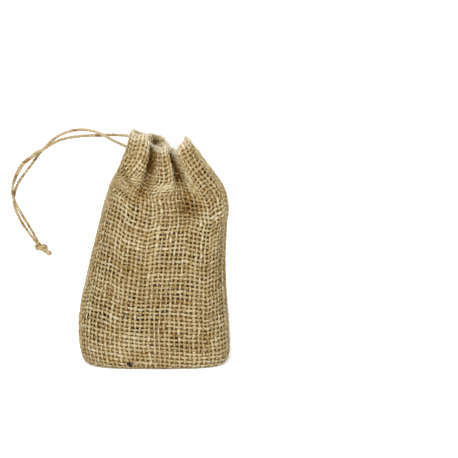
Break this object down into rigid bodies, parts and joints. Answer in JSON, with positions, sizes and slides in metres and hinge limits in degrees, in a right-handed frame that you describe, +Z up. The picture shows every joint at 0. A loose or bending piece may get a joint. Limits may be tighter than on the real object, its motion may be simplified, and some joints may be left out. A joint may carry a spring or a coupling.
{
  "type": "hessian drawstring sack",
  "caption": "Small open-weave hessian sack standing upright, its hemmed neck gathered into folds by a thin jute drawstring with a knotted end.",
  "frame": {"origin": "on the ground under the middle of the sack's box, without the drawstring", "axes": "+Z up, -Y to the sack's front, -X to the side where the drawstring comes out"},
  "size_m": [0.105, 0.0499, 0.1139],
  "materials": {
    "hessian": "natural undyed jute in an open plain weave, hairy, matt",
    "jute_cord": "two-ply twisted jute twine, a little hairy, matt"
  },
  "bodies": {
    "root": {"sack": "hessian", "drawstring_strand_upper": "jute_cord", "drawstring_strand_lower": "jute_cord", "drawstring_knot": "jute_cord"}
  },
  "joints": []
}
